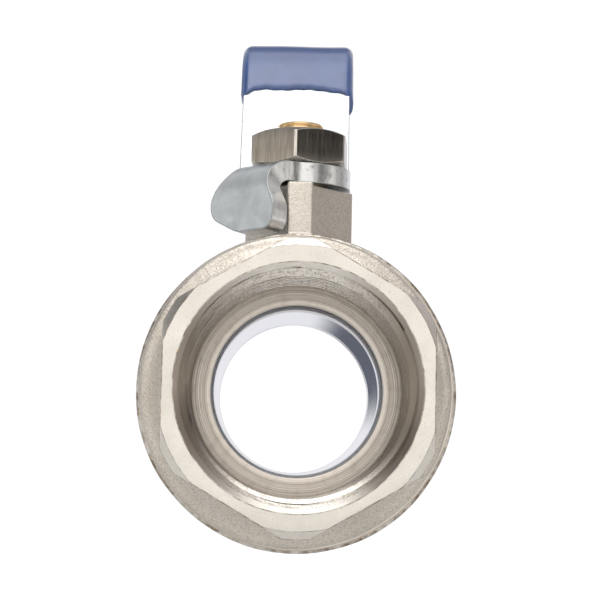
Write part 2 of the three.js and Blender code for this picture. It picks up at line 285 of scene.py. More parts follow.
def helix_rows(angle, hand, pitch, length):
    """(distance, height) along a thread at that angle, the height running from -1 to 1."""
    turn = hand * angle / (2 * pi)
    rows = []
    for n in range(-1, ceil(length / pitch) + 2):
        for part, _ in THREAD_SHAPE[:-1]:
            distance = min(max(pitch * (n + part + turn), 0.0), length)
            rows.append((distance, thread_height(distance / pitch - turn)))
    return rows


def hexagon_radius(angle, flat=HEX_FLAT, turned_radius=HEX_TURNED, start=pi / 2):
    """Axis to a hexagon's side at that angle, its corners turned down. A flat faces the start angle."""
    sixth = pi / 3
    across = (angle - start + sixth / 2) % sixth - sixth / 2
    return min(flat / cos(across), turned_radius)


def hexagon_angles(flat=HEX_FLAT, turned_radius=HEX_TURNED, start=pi / 2, count=COLUMNS):
    """Even angles, with more of them where a flat meets a turned corner."""
    meeting = acos(min(1.0, flat / turned_radius))
    angles = set(even_angles(count))
    for k in range(6):
        for side in (-1, 1):
            for step in (-0.012, -0.004, 0.004, 0.012):
                angles.add((start + k * pi / 3 + side * meeting + step) % (2 * pi))
    return sorted(angles)


def chamfered_edge(side, chamfer, slope, edge=EDGE, steps=4):
    """(radius, depth) round the corner from an end face to a side at that radius, by way of the chamfer."""
    lean = sqrt(1 + slope * slope)
    face_centre = (min(chamfer - edge * (lean - 1) / slope, side - edge), edge)
    side_centre = (side - edge, max(edge, slope * (side - edge - chamfer) + edge * lean))
    leaning = degrees(atan2(1, slope))
    rows = []
    for (radius, depth), first, last in ((face_centre, 90, leaning), (side_centre, leaning, 0)):
        rows += [(a, 2 * depth - b) for a, b in arc(radius, depth, edge, first, last, steps)]
    return rows


# ---------------- castings

MACHINED, CAST, THREADED, SHELF, WORN = range(5)  # material numbers on the two castings
FLARE_STEPS = 14
STEP_DOWN = (-12.6, -10.8)  # from the body's ring to its barrel, along the flow axis
SLOPE_START, SLOPE_LENGTH, SLOPE_FOOT = 9.0, 19.5, 22.4  # from the barrel down to the outlet hexagon


def socket(angle, end):
    """Mouth, thread, relief, shelf, port and seat pocket, from the end face in. end is -1 or 1."""
    middle, swing = (PIPE_MAJOR + PIPE_MINOR) / 2, (PIPE_MAJOR - PIPE_MINOR) / 2
    face = end * HALF_LENGTH
    shelf = face - end * SHELF_DEPTH
    floor = end * SEAT_FLOOR
    rows = []
    for depth, height in helix_rows(angle, -end, PIPE_PITCH, SHELF_DEPTH - RELIEF_LENGTH):
        radius = max(middle + swing * height, MOUTH - MOUTH_SLOPE * depth)
        rows.append((radius, face - end * depth, THREADED))
    rows += marked(THREADED, [(RELIEF_RADIUS, shelf + end * RELIEF_LENGTH)])
    shelf_radii = (RELIEF_RADIUS, 19.5, 18.7, 17.9, 17.1, PORT + EDGE)
    rows += marked(SHELF, [(radius, shelf) for radius in shelf_radii])
    rows += marked(SHELF, [(PORT + EDGE * 0.3, shelf - end * EDGE * 0.3), (PORT, shelf - end * EDGE)])
    rows += marked(SHELF, [(PORT, floor + end * EDGE), (PORT + EDGE, floor), (SEAT_POCKET, floor)])
    return rows


def cast_wave(angle, size, phase):
    """The slight unevenness of a sand-cast outline."""
    waves = ((3, 1.0), (7, 0.6), (17, 0.35))
    return size * sum(height * sin(n * angle + n * phase) for n, height in waves)


def flare(hexagon, foot_y, foot, top_y, top):
    """From a wide shoulder down to the hexagon, which cuts into it; the wide end comes first."""
    rows = []
    for i in range(1, FLARE_STEPS + 1):
        turn = (1 - i / FLARE_STEPS) * pi / 2
        radius = foot + (top - foot) * (1 - cos(turn)) ** 0.82
        rows.append((max(radius, hexagon), foot_y + (top_y - foot_y) * sin(turn)))
    return rows


def hexagon_end(hexagon, end, length):
    """Side, chamfer and face of a hexagon, from its inner end out to the socket's mouth."""
    face = end * HALF_LENGTH
    rows = marked(MACHINED, [(hexagon, face - end * length * part) for part in (0.75, 0.5, 0.3)])
    corner = reversed(chamfered_edge(hexagon, HEX_CHAMFER, HEX_CHAMFER_SLOPE))
    edge = [(radius, face - end * depth) for radius, depth in corner]
    half = len(edge) // 2
    for bend in (edge[:half], edge[half:]):
        rows += marked(WORN, bend[:-1]) + marked(MACHINED, bend[-1:])
    return rows + marked(MACHINED, [(23.3, face), (22.6, face)]) + marked(WORN, [(MOUTH + 0.2, face)])


def end_cap():
    """The inlet hexagon, its socket, the collar that meets the body and the spigot behind it."""
    shift_x, shift_z = -0.3, 0.12  # the rough casting sits a little off the turned bore
    back = JOINT_Y - 0.3

    def outline(angle):
        hexagon = hexagon_radius(angle)
        shift = shift_x * sin(angle) + shift_z * cos(angle)
        rim = COLLAR - 0.01 + cast_wave(angle, 0.06, 0.7) + shift
        rows = socket(angle, -1)
        rows += marked(SHELF, [(SEAT_POCKET, -11.4), (SEAT_POCKET + 0.3, -11.0), (SPIGOT - 0.4, -11.0)])
        rows += marked(MACHINED, [(SPIGOT, -11.5), (SPIGOT, back), (rim - 0.9, back)])
        rows += marked(CAST, arc(rim - 0.35, back - 0.35, 0.35, 90, 0, 3))
        collar = arc(rim - COLLAR_EDGE, -21.2, COLLAR_EDGE, 0, -66, 6)
        rows += marked(CAST, collar)
        rows += marked(CAST, flare(hexagon, -29.5, 22.6, collar[-1][1], collar[-1][0]))
        return rows + hexagon_end(hexagon, -1, 10.4)

    return turned("end_cap_casting", outline, hexagon_angles())


def barrel_radius(y):
    """Outside of the body casting between its ring and the outlet hexagon."""
    high, low = STEP_DOWN
    if y < high:
        return RING
    if y < low:
        return BARREL + (RING - BARREL) * (0.5 + 0.5 * cos(pi * (y - high) / (low - high)))
    if y < SLOPE_START:
        return BARREL
    drop = 1 - ((y - SLOPE_START) / SLOPE_LENGTH) ** 2
    return SLOPE_FOOT + (BARREL - SLOPE_FOOT) * sqrt(max(0.0, drop))


def body_shell():
    """Ring, barrel and outlet hexagon with everything turned inside them."""

    def outline(angle):
        hexagon = hexagon_radius(angle)
        wave = cast_wave(angle, 0.05, 2.2)
        rows = socket(angle, 1)
        chamber = [(SEAT_POCKET, 11.0), (CHAMBER, 8.0), (CHAMBER, -10.5), (SPIGOT + 0.3, -10.6)]
        chamber += [(SPIGOT + 0.3, JOINT_Y + 1.5), (28.4, JOINT_Y + 1.5), (28.4, JOINT_Y)]
        rows += marked(SHELF, chamber)
        joint = arc(RING - RING_EDGE + wave, JOINT_Y + RING_EDGE, RING_EDGE, -90, 0, 4)
        rows += marked(WORN, joint[:-1]) + marked(CAST, joint[-1:])
        places = [-16.0, -13.4] + even(*STEP_DOWN, 8) + [-7.0, -3.0, 1.0, 5.0]
        places += even(SLOPE_START, SLOPE_START + 17.5, 18)
        rows += marked(CAST, [(max(barrel_radius(y) + wave, hexagon), y) for y in places])
        return rows + hexagon_end(hexagon, 1, 12.0)

    return turned("valve_body_casting", outline, hexagon_angles())


def neck_outline():
    """The neck from above: a square on its corner, its corners cut, with a stop rib before and behind."""
    cut = NECK_FLAT * sqrt(2) - NECK_HALF_WIDTH
    inner = NECK_FLAT * sqrt(2) - RIB_HALF_WIDTH
    quarter = [(NECK_HALF_WIDTH, cut, 0.5), (RIB_HALF_WIDTH, inner, 0.7), (RIB_HALF_WIDTH, RIB_REACH, 0.45)]
    right = [(x, -y, r) for x, y, r in reversed(quarter)] + quarter
    return rounded(right + [(-x, y, r) for x, y, r in reversed(right)], steps=5)


def neck():
    """The neck with a softened top edge and a fillet where it grows out of the barrel."""
    points = neck_outline()
    count = len(points)
    normals = []
    for i in range(count):
        along = Vector(points[(i + 1) % count]) - Vector(points[i - 1])
        normals.append(Vector((along.y, -along.x)).normalized())
    rings = []
    for turn in (90, 60, 30, 0):
        inset, drop = quarter_round(NECK_EDGE, turn)
        rings.append([(*(Vector(p) - n * inset), NECK_TOP - drop) for p, n in zip(points, normals)])

    def above_barrel(p, out, height):
        x, y = Vector(p[0]) + p[1] * out
        return x, y, sqrt(barrel_radius(y) ** 2 - x * x) + height

    spots = list(zip(points, normals))
    for turn in (0, 18, 36, 54, 72, 90):
        out, height = quarter_round(NECK_FILLET, turn)
        rings.append([above_barrel(spot, out, height) for spot in spots])
    rings.append([above_barrel(spot, NECK_FILLET, -0.7) for spot in spots])
    vertices = [point for ring in rings for point in ring]
    faces = ring_faces(len(rings), count)
    faces.append(tuple(range(count)))
    vertices.append((0.0, 0.0, NECK_ROOT))
    bottom = (len(rings) - 1) * count
    faces += [(bottom + i, bottom + (i + 1) % count, len(vertices) - 1) for i in range(count)]
    return make_object("neck", vertices, faces, [CAST] * len(faces))


def stem_bore_cutter():
    """The stem's bore, with the wide pocket for its flange below and a chamfer at the top."""
    pocket, pocket_top = FLANGE + 0.6, FLANGE_HIGH + 2.1
    chamfer = STEM_BORE + 0.8
    corners = [(0.0, 10.0), (pocket, 10.0), (pocket, pocket_top), (STEM_BORE, pocket_top)]
    corners += [(STEM_BORE, NECK_TOP - 0.7), (chamfer, NECK_TOP + 0.1), (chamfer, NECK_TOP + 1)]
    corners.append((0.0, NECK_TOP + 1))
    return turned("stem_bore", lambda angle: marked(SHELF, corners), even_angles(72), axis="Z")


def body():
    """The turned casting with the neck grown on to it and the stem bored through."""
    shell = body_shell()
    combine(shell, neck(), "UNION")
    combine(shell, stem_bore_cutter(), "DIFFERENCE")
    return shell


# ---------------- inner pieces

def ball():
    """The bored ball, with the slot that the stem's tang turns it by."""
    edge_y = ball_high.y
    ease = 0.35
    first = asin((edge_y - ease) / BALL)
    sphere = [(BALL * cos(t), BALL * sin(t)) for t in even(first, -first, 60)]
    lip = [(BALL_PORT + 0.12, -edge_y + 0.08), (BALL_PORT, -edge_y + ease)]
    bore = [(BALL_PORT, y) for y in (-12.0, -6.0, 0.0, 6.0, 12.0)]
    outline = marked(0, sphere + lip + bore + [(r, -y) for r, y in reversed(lip)])
    piece = turned("ball_polished", lambda angle: outline, even_angles(180))
    height = BALL + 1 - BALL_SLOT_FLOOR
    slot = block("slot", 0, 0, BALL_SLOT_FLOOR + height / 2, 2 * BALL, 2 * BALL_SLOT_HALF_WIDTH, height)
    combine(piece, slot, "DIFFERENCE")
    return piece


def seat(name, end):
    """A seat ring whose inner face follows the ball."""
    reach = BALL + SEAT_GAP
    back = end * (SEAT_FLOOR - SEAT_GAP)
    wide = sqrt(reach ** 2 - SEAT_LIP ** 2)
    face = [(r, end * sqrt(reach ** 2 - r ** 2)) for r in even(wide, SEAT_BORE, 10)]
    ring = [(SEAT_BORE, back), (SEAT_RADIUS - 0.3, back)]
    ring += [(SEAT_RADIUS, back - end * 0.3), (SEAT_RADIUS, end * SEAT_LIP)]
    return turned(name, lambda angle: marked(0, ring + face), even_angles(120))


def plain_ring(name, node, inner, axis, ease=0.15):
    """A square-cut ring with eased edges, as large as its node's box."""
    low, high = box_mm(node)
    along = "XYZ".index(axis)
    corners = [(inner, low[along], ease), (high.x, low[along], ease)]
    corners += [(high.x, high[along], ease), (inner, high[along], ease)]
    return turned(name, lambda angle: marked(0, rounded(corners, 3)), even_angles(96), axis=axis)


def o_ring(name, node):
    low, high = box_mm(node)
    wire = (high.z - low.z) / 2 + 0.08
    wire_round = arc(high.x - wire, (low.z + high.z) / 2, wire, 0, 330, 11)
    return turned(name, lambda angle: marked(0, wire_round), even_angles(72), axis="Z")


def stem():
    """Flange, O-ring grooves, driving flats and a threaded top, with the tang below."""
    thread_start = PLATE_TOP - 0.2
    length = stem_high.z - thread_start
    softened = FLANGE - FLANGE_EDGE

    def outline(angle):
        rows = [(0.0, FLANGE_LOW), (softened, FLANGE_LOW), (FLANGE, FLANGE_LOW + FLANGE_EDGE)]
        rows += [(FLANGE, FLANGE_HIGH - FLANGE_EDGE), (softened, FLANGE_HIGH), (STEM_RADIUS, FLANGE_HIGH)]
        for height in O_RING_HEIGHTS:
            low, high = height - O_RING_GROOVE_WIDTH / 2, height + O_RING_GROOVE_WIDTH / 2
            rows += [(STEM_RADIUS, low), (O_RING_GROOVE_RADIUS, low)]
            rows += [(O_RING_GROOVE_RADIUS, high), (STEM_RADIUS, high)]
        rows += [(STEM_RADIUS, thread_start - 0.3), (STEM_RADIUS - 0.3, thread_start)]
        for distance, height in helix_rows(angle, 1, STEM_PITCH, length):
            past = distance - (length - STEM_CHAMFER)
            crest = STEM_THREAD - STEM_THREAD_DEPTH * (1 + height) / 2
            rows.append((min(crest, STEM_THREAD - 0.2 - max(0.0, past)), thread_start + distance))
        return marked(0, rows + [(0.0, stem_high.z)])

    piece = turned("stem_turned", outline, even_angles(96), axis="Z")
    middle, height = (STEM_FLATS_LOW + PLATE_TOP) / 2, PLATE_TOP - STEM_FLATS_LOW
    for side in (-1, 1):
        combine(piece, block("flat", side * (STEM_FLAT + 2), 0, middle, 4, 14, height), "DIFFERENCE")
    middle, height = (stem_low.z + TANG_HIGH) / 2, TANG_HIGH - stem_low.z
    combine(piece, block("tang", 0, 0, middle, TANG_WIDTH, TANG_THICKNESS, height), "UNION")
    return piece


def handle_nut():
    """A thin hexagon nut, chamfered on both faces."""
    corner = NUT_FLAT / cos(pi / 6) - 0.15
    start = radians(30) + NUT_TURN
    low, high = nut_low.z, nut_high.z
    bore, bore_chamfer = STEM_THREAD + 0.12, STEM_THREAD + 0.6

    def outline(angle):
        side = hexagon_radius(angle, NUT_FLAT, corner, start)
        edge = chamfered_edge(side, NUT_FLAT - 0.25, 0.55, edge=0.12)
        rows = [(bore, low + 0.5), (bore_chamfer, low)]
        rows += [(radius, low + depth) for radius, depth in edge]
        rows += [(side, low + (high - low) * part) for part in (0.35, 0.5, 0.65)]
        rows += [(radius, high - depth) for radius, depth in reversed(edge)]
        return marked(0, rows + [(bore_chamfer, high), (bore, high - 0.5)])

    return turned("handle_nut_chamfered", outline, hexagon_angles(NUT_FLAT, corner, start, 192), axis="Z")


# ---------------- lever and grip

LEVER_HALF_WIDTH = 11.76
LEVER_OFFSET = -1.4  # the strip's middle from the stem axis
HUB_RADIUS = 10.4
RISE_START = 11.5  # stem axis to the first bend, along the plate
RISE_ANGLE = radians(70)
RISE_LENGTH = 28.35
BEND_RADIUS = 6.0  # to the middle of the plate
LEVER_RUN = [  # (length along the plate's middle, angle turned through on the way)
    (RISE_START, 0.0), (BEND_RADIUS * RISE_ANGLE, RISE_ANGLE), (RISE_LENGTH, 0.0),
    (BEND_RADIUS * RISE_ANGLE, -RISE_ANGLE), (200.0, 0.0),
]
LEVER_END = box_mm("lever")[1].y
END_CORNER = 9.0
RIM_EDGE = 0.5  # radius of the plate's edges

TAB_ANGLE = radians(-135)
TAB_BEND_START = 9.6
TAB_BEND_RADIUS = 4.8  # to the middle of the plate
TAB_BENT = radians(85)
TAB_FILLET = 5.0  # between the hub's front edge and the tab's right side
TAB_OUTLINE = [  # the unbent tab as (from the stem axis, across to the right, corner radius)
    (15.2, 6.4, 6), (20.0, 9.3, 5), (25.0, 9.3, 2.4), (25.1, -0.5, 6),
    (21.8, -8.0, 4), (17.8, -9.0, 4), (13.4, -5.2, 4), (9.2, -4.8, 0),
]
HUB_LEFT = [(-9.9, -1.1, 2.5), (-10.9, 3.0, 4)]  # from the tab back to the strip's left side


def run_point(along, rise):
    """(y, z) of a point that far along the unbent lever and that far above its middle."""
    y, z, angle = 0.0, PLATE_BOTTOM + PLATE_THICKNESS / 2, 0.0
    left = along
    for length, turn in LEVER_RUN:
        part = min(left, length)
        if turn:
            swept = turn * part / length
            radius = length / turn
            y += radius * (sin(angle + swept) - sin(angle))
            z += radius * (cos(angle) - cos(angle + swept))
            angle += swept
        else:
            y += part * cos(angle)
            z += part * sin(angle)
        left -= part
        if left <= 0:
            break
    return y - rise * sin(angle), z + rise * cos(angle)


def lever_length():
    """Length of the unbent lever, from the stem axis."""
    bends = sum(length for length, _ in LEVER_RUN[:-1])
    return bends + LEVER_END - run_point(bends, 0)[0]


def rotated(x, y, angle):
    """A point turned about the stem axis."""
    return x * cos(angle) - y * sin(angle), x * sin(angle) + y * cos(angle)


def turn_lever(x, y, share=1.0):
    """A point of the strip moved to its place beside the stem, and turned to rest on its open stop."""
    return rotated(x, y, LEVER_TURN * share)


def tab_point(along, across):
    """A point of the unbent tab in the lever's plane."""
    return rotated(along, across, TAB_ANGLE)


def lever_outline():
    """The unbent lever seen from above, clockwise from the grip's end."""
    end = lever_length()
    right, left = LEVER_OFFSET + LEVER_HALF_WIDTH, LEVER_OFFSET - LEVER_HALF_WIDTH
    side = TAB_OUTLINE[0][1] + 0.3 + TAB_FILLET
    reach = HUB_RADIUS + TAB_FILLET
    spread = degrees(asin(side / reach))
    hub = arc(0, 0, HUB_RADIUS, 0, degrees(TAB_ANGLE) + spread, 40)
    fillet = arc(sqrt(reach ** 2 - side ** 2), side, TAB_FILLET, 180 + spread, 270, 12)
    sharp = arc(right - END_CORNER, end - END_CORNER, END_CORNER, 90, 0, 18)
    sharp += [(right, 60), (right, 4)] + hub + [tab_point(a, b) for a, b in fillet[1:]]
    corners = [(a, b, 0) for a, b in sharp]
    corners += [(*tab_point(a, b), radius) for a, b, radius in TAB_OUTLINE]
    corners += HUB_LEFT + [(left, 9.0, 6), (left, 60, 0)]
    last = arc(left + END_CORNER, end - END_CORNER, END_CORNER, 180, 90, 18)
    corners += [(a, b, 0) for a, b in last]
    return rounded(corners, 8)


def bend_plate(x, y, rise):
    """Where a point of the unbent plate goes."""
    middle = PLATE_BOTTOM + PLATE_THICKNESS / 2
    along, across = rotated(x, y, -TAB_ANGLE)
    if along > TAB_BEND_START and y < 0:
        past = along - TAB_BEND_START
        angle = min(past / TAB_BEND_RADIUS, TAB_BENT)
        rest = past - angle * TAB_BEND_RADIUS
        radius = TAB_BEND_RADIUS + rise
        out = TAB_BEND_START + radius * sin(angle) + rest * cos(angle)
        down = TAB_BEND_RADIUS - radius * cos(angle) + rest * sin(angle)
        return (*tab_point(out, across), middle - down)
    if y <= 0:
        return x, y, middle + rise
    bent_y, z = run_point(y, rise)
    clear_of_hole = min(max((y - 6.5) / 6, 0.0), 1.0)
    return (*turn_lever(x, bent_y, clear_of_hole), z)


def lever():
    """A plate cut out flat, its edges softened, then bent like sheet metal."""
    piece = plate("lever_bent", lever_outline(), PLATE_THICKNESS / 2)
    combine(piece, stem_hole_cutter(), "DIFFERENCE")
    bm = bmesh.new()
    bm.from_mesh(piece.data)
    level = [e for e in bm.edges if abs(e.verts[0].co.z - e.verts[1].co.z) < 1e-6]
    rim = [e for e in level if e.calc_face_angle() > 1.2]
    bmesh.ops.bevel(bm, geom=rim, offset=RIM_EDGE * MM, segments=4, profile=0.5, affect="EDGES",
                    clamp_overlap=True)
    bm.normal_update()
    for face in bm.faces:
        face.material_index = 1 if abs(face.normal.z) < 0.3 else 0  # sheared sides, rolled faces
    cut_for_bends(bm)
    for vert in bm.verts:
        vert.co = Vector(bend_plate(*(vert.co / MM))) * MM
    bm.to_mesh(piece.data)
    bm.free()
    shade(piece.data, 32)
    piece.modifiers.new("even shading", "WEIGHTED_NORMAL").keep_sharp = True
    return piece


def plate(name, points, half):
    """A flat plate of that outline, that far above and below z = 0."""
    count = len(points)
    vertices = [(x, y, z) for z in (-half, half) for x, y in points]
    faces = [tuple(range(count)), tuple(range(count, 2 * count))] + ring_faces(2, count)
    return make_object(name, vertices, faces)


def cut_for_bends(bm):
    """Lines across the flat plate where it will bend."""
    steps = 12
    ups = []
    start = 0.0
    for length, turn in LEVER_RUN:
        if turn:
            ups += even(start, start + length, steps)
        start += length
    for along in ups:
        cut(bm, (0, along, 0), (0, 1, 0))
    for along in even(TAB_BEND_START, TAB_BEND_START + TAB_BEND_RADIUS * TAB_BENT, steps):
        cut(bm, (*tab_point(along, 0), 0), (*tab_point(1, 0), 0))


def cut(bm, point, normal):
    """New edges wherever that plane crosses the mesh."""
    geometry = list(bm.verts) + list(bm.edges) + list(bm.faces)
    place = Vector(point) * MM
    bmesh.ops.bisect_plane(bm, geom=geometry, dist=1e-8, plane_co=place, plane_no=Vector(normal))


def stem_hole_cutter():
    """The stem's round with its two flats, a little larger."""
    half_flat, radius = STEM_FLAT + 0.15, STEM_RADIUS + 0.15
    lean = degrees(acos(half_flat / radius))
    points = arc(0, 0, radius, lean, 180 - lean, 20) + arc(0, 0, radius, 180 + lean, 360 - lean, 20)
    return plate("hole", points, PLATE_THICKNESS)


VINYL = 0.69  # thickness of the dipped skin
SLEEVE_SOFT = 2.0  # radius of its outer edges
SLEEVE_TIP = 1.6  # radius of the edges of its far end
DIP_START = 40.45  # along the unbent lever to the vinyl's edge at the middle of the front face
SLEEVE_SETTLED = DIP_START + 4.0  # from here on its rings are square to the lever


def dip_edge(x, rise):
    """How far along the lever the vinyl starts: lower at the sides, lowest at the right of the back."""
    side = x / LEVER_HALF_WIDTH
    back = 0.5 - 0.5 * max(-1.0, min(1.0, rise / 2.4))
    hang = (1.6 - 0.3 * side) * min(1.2, abs(side)) ** 5 + back * (0.1 + 1.55 * (1 + side))
    ripple = 0.16 * sin(0.55 * x + 0.4) + 0.09 * sin(1.9 * x + 2.0)
    return DIP_START - hang + ripple


def section(half_x, half_rise, corner, steps=7):
    """A rounded rectangle, anticlockwise, always with the same number of points."""
    points = []
    x, rise = half_x - corner, half_rise - corner
    for sign_x, sign_rise, start in ((1, 1, 0), (-1, 1, 90), (-1, -1, 180), (1, -1, 270)):
        turn = arc(sign_x * x, sign_rise * rise, corner, start, start + 90, steps)
        if points:
            points += between(points[-1], turn[0], 30 if start in (90, 270) else 3)
        points += turn
    return points + between(points[-1], points[0], 3)


def between(a, b, pieces):
    """The points that part a straight line into that many pieces."""
    shares = even(0, 1, pieces)[1:-1]
    return [(a[0] + (b[0] - a[0]) * share, a[1] + (b[1] - a[1]) * share) for share in shares]


def grip_half_width(along, reach):
    """Half width of the lever or of its sleeve, narrowing in the rounded end."""
    past = along - (lever_length() - END_CORNER)
    radius = END_CORNER + reach
    if past <= 0:
        return LEVER_HALF_WIDTH + reach
    return LEVER_HALF_WIDTH - END_CORNER + sqrt(max(0.0, radius ** 2 - min(past, radius) ** 2))


def sleeve_point(row, share, skin, steel_side, outer_side):
    """A point of the sleeve: skin is 0 on the steel and 1 on the outside of full thickness."""
    x, rise = steel_side
    if share is not None:
        edge = dip_edge(x, rise)
        row = edge + (SLEEVE_SETTLED - edge) * share
        past = row - edge
        skin *= 1 - 0.85 * exp(-past / 0.3) + 0.05 * exp(-((past - 1.2) / 0.5) ** 2)
    skin_x, skin_rise = outer_side
    full_x = skin_x + 0.12 + 0.07 * sin(row * 0.21 + rise)
    full_rise = skin_rise + 0.05 * sin(row * 0.17 + 0.35 * x)
    bent_y, z = run_point(row, rise + (full_rise - rise) * skin)
    return (*turn_lever(LEVER_OFFSET + x + (full_x - x) * skin, bent_y), z)


def sleeve_ring(row, share, skin):
    """One ring round the lever, on the steel or on the outside of the vinyl."""
    end = lever_length()
    fit = 0.03
    steel_rows = section(grip_half_width(min(row, end + fit), fit), PLATE_THICKNESS / 2 + fit, 0.5)
    tip = min(1.0, max(0.0, (row - (end + VINYL - SLEEVE_TIP)) / SLEEVE_TIP))
    half_rise = PLATE_THICKNESS / 2 + VINYL - SLEEVE_TIP * (1 - sqrt(1 - tip ** 2))
    outer_rows = section(grip_half_width(row, VINYL), half_rise, min(SLEEVE_SOFT, half_rise * 0.95))
    return [sleeve_point(row, share, skin, *pair) for pair in zip(steel_rows, outer_rows)]


def grip_sleeve():
    """Dipped vinyl over the grip, with an uneven hanging edge and soft corners."""
    end = lever_length()
    near = [0.0, 0.03, 0.08, 0.15, 0.25, 0.4, 0.6, 0.8]
    tip = END_CORNER + VINYL
    rows = even(SLEEVE_SETTLED, end - END_CORNER, 46)
    rows += [end - END_CORNER + tip * sin(radians(a)) for a in range(6, 90, 6)]
    inside = [sleeve_ring(SLEEVE_SETTLED, share, 0) for share in near]
    inside += [sleeve_ring(row, None, 0) for row in rows if row < end]
    outside = [sleeve_ring(SLEEVE_SETTLED, share, 1) for share in near]
    outside += [sleeve_ring(row, None, 1) for row in rows + [end + VINYL]]
    rings = list(reversed(inside)) + outside
    count = len(rings[0])
    vertices = [point for loop in rings for point in loop]
    faces = ring_faces(len(rings), count)
    faces.append(tuple(range(count)))
    faces.append(tuple(range(len(vertices) - count, len(vertices))))
    return make_object("grip_sleeve_dipped", vertices, faces, sharp=60)


# ---------------- shader tools

def add_node(tree, kind, inputs=None, **settings):
    """A new node; each input is linked where it is a socket and set where it is a value."""
    made = tree.nodes.new("ShaderNode" + kind)
    for name, value in settings.items():
        setattr(made, name, value)
    for name, value in (inputs or {}).items():
        if isinstance(value, bpy.types.NodeSocket):
            tree.links.new(value, made.inputs[name])
        else:
            made.inputs[name].default_value = value
    return made


def vector_math(operation, a, b=(0, 0, 0)):
    """A sum on vectors. It and the tools below are added to the tree that their first socket is in."""
    made = add_node(a.id_data, "VectorMath", {0: a, 1: b}, operation=operation)
    return made.outputs["Vector" if operation == "MULTIPLY" else "Value"]


def scaled(place, x, y, z):
    """A point multiplied along each axis."""
    return vector_math("MULTIPLY", place, (x, y, z))


def noise(place, size, detail=3.0):
    """A cloudy value about 0.5 whose lumps are that many mm across."""
    inputs = {"Vector": place, "Scale": 1 / (size * MM), "Detail": detail}
    return add_node(place.id_data, "TexNoise", inputs).outputs["Fac"]


def axis_distance(place, axis):
    """Distance from the flow axis, Y, or the stem axis, Z, in metres."""
    return vector_math("LENGTH", scaled(place, 1, axis != "Y", axis != "Z"))


def ring_noise(place, axis, size, detail=2.0):
    """A value that changes only with the distance from an axis, as turning marks do."""
    inputs = {"W": axis_distance(place, axis), "Scale": 1 / (size * MM), "Detail": detail}
    return add_node(place.id_data, "TexNoise", inputs, noise_dimensions="1D").outputs["Fac"]


def remap(value, low, high, to_low=0.0, to_high=1.0):
    """The range low to high stretched to to_low to to_high, and clamped there."""
    inputs = {"Value": value, "From Min": low, "From Max": high, "To Min": to_low, "To Max": to_high}
    return add_node(value.id_data, "MapRange", inputs).outputs["Result"]


def product(a, b):
    return add_node(a.id_data, "Math", {0: a, 1: b}, operation="MULTIPLY").outputs[0]


def mix(factor, a, b):
    """Colour a where the factor is 0, colour b where it is 1."""
    a, b = [(*colour, 1.0) if isinstance(colour, tuple) else colour for colour in (a, b)]
    return add_node(factor.id_data, "Mix", {0: factor, 6: a, 7: b}, data_type="RGBA").outputs[2]


def bump(height, depth, normal=None):
    """A normal bent by a height map whose 0 to 1 is that many mm."""
    inputs = {"Height": height, "Distance": depth * MM, "Strength": 1.0}
    if normal:
        inputs["Normal"] = normal
    return add_node(height.id_data, "Bump", inputs).outputs["Normal"]


def edge_mask(material, radius):
    """1 on outer and inner edges, 0 elsewhere."""
    tree = material.node_tree
    soft = add_node(tree, "Bevel", {"Radius": radius * MM}, samples=6).outputs["Normal"]
    true = add_node(tree, "NewGeometry").outputs["Normal"]
    return remap(vector_math("DOT_PRODUCT", soft, true), 0.998, 0.96)


def surface(name, colour, metallic, roughness, **constants):
    """A material whose principled shader has these settings, and the shaded point in metres."""
    material = bpy.data.materials.new(name)
    material.use_nodes = True
    tree = material.node_tree
    shader = tree.nodes["Principled BSDF"]
    shader.inputs["Base Color"].default_value = (*colour, 1.0)
    shader.inputs["Metallic"].default_value = metallic
    shader.inputs["Roughness"].default_value = roughness
    for label, value in constants.items():
        shader.inputs[label.replace("_", " ").title().replace("Ior", "IOR")].default_value = value
    return material, add_node(tree, "TexCoord").outputs["Object"]


def drive(material, **links):
    """The material, with these values linked to its shader's sockets of the same names."""
    tree = material.node_tree
    for label, value in links.items():
        socket = tree.nodes["Principled BSDF"].inputs[label.replace("_", " ").title()]
        tree.links.new(value, socket)
    return material


# ---------------- materials

NICKEL = (0.74, 0.71, 0.66)
NICKEL_WARM = (0.60, 0.54, 0.46)
BARE_BRASS = (0.62, 0.42, 0.18)
TARNISH = (0.16, 0.12, 0.09)
# the colour of the painted shade along the lever's edges
ZINC_EDGE_SHADE = (0.16, 0.17, 0.18)


def machined_nickel():
    """Faces and flats cut after casting: satin and faintly speckled."""
    material, place = surface("nickel_machined", NICKEL, 1.0, 0.3)
    speck = remap(noise(place, 0.35, 4.0), 0.6, 0.72)
    blotch = remap(noise(place, 7.0), 0.35, 0.65)
    colour = mix(blotch, (0.88, 0.85, 0.80), (0.81, 0.775, 0.725))
    colour = mix(product(speck, 0.5), colour, NICKEL_WARM)
    rough = remap(noise(place, 2.2), 0.3, 0.7, 0.24, 0.36)
    normal = bump(noise(place, 0.25, 3.0), 0.006)
    normal = bump(noise(place, 2.5, 2.0), 0.02, normal)
    return drive(material, base_color=colour, roughness=rough, normal=normal)


def worn_nickel():
    """The sharp edges of the castings, where the plating is chipped and brown."""
    material, place = surface("nickel_worn", NICKEL, 1.0, 0.4)
    chips = remap(noise(place, 1.5, 6.0), 0.36, 0.66, 0.1, 0.95)
    bare = remap(noise(place, 0.6, 3.0), 0.62, 0.68)
    colour = mix(bare, (0.24, 0.19, 0.145), BARE_BRASS)
    colour = mix(chips, (0.80, 0.77, 0.72), colour)
    normal = bump(noise(place, 0.5, 4.0), 0.06)
    return drive(material, base_color=colour, normal=normal)


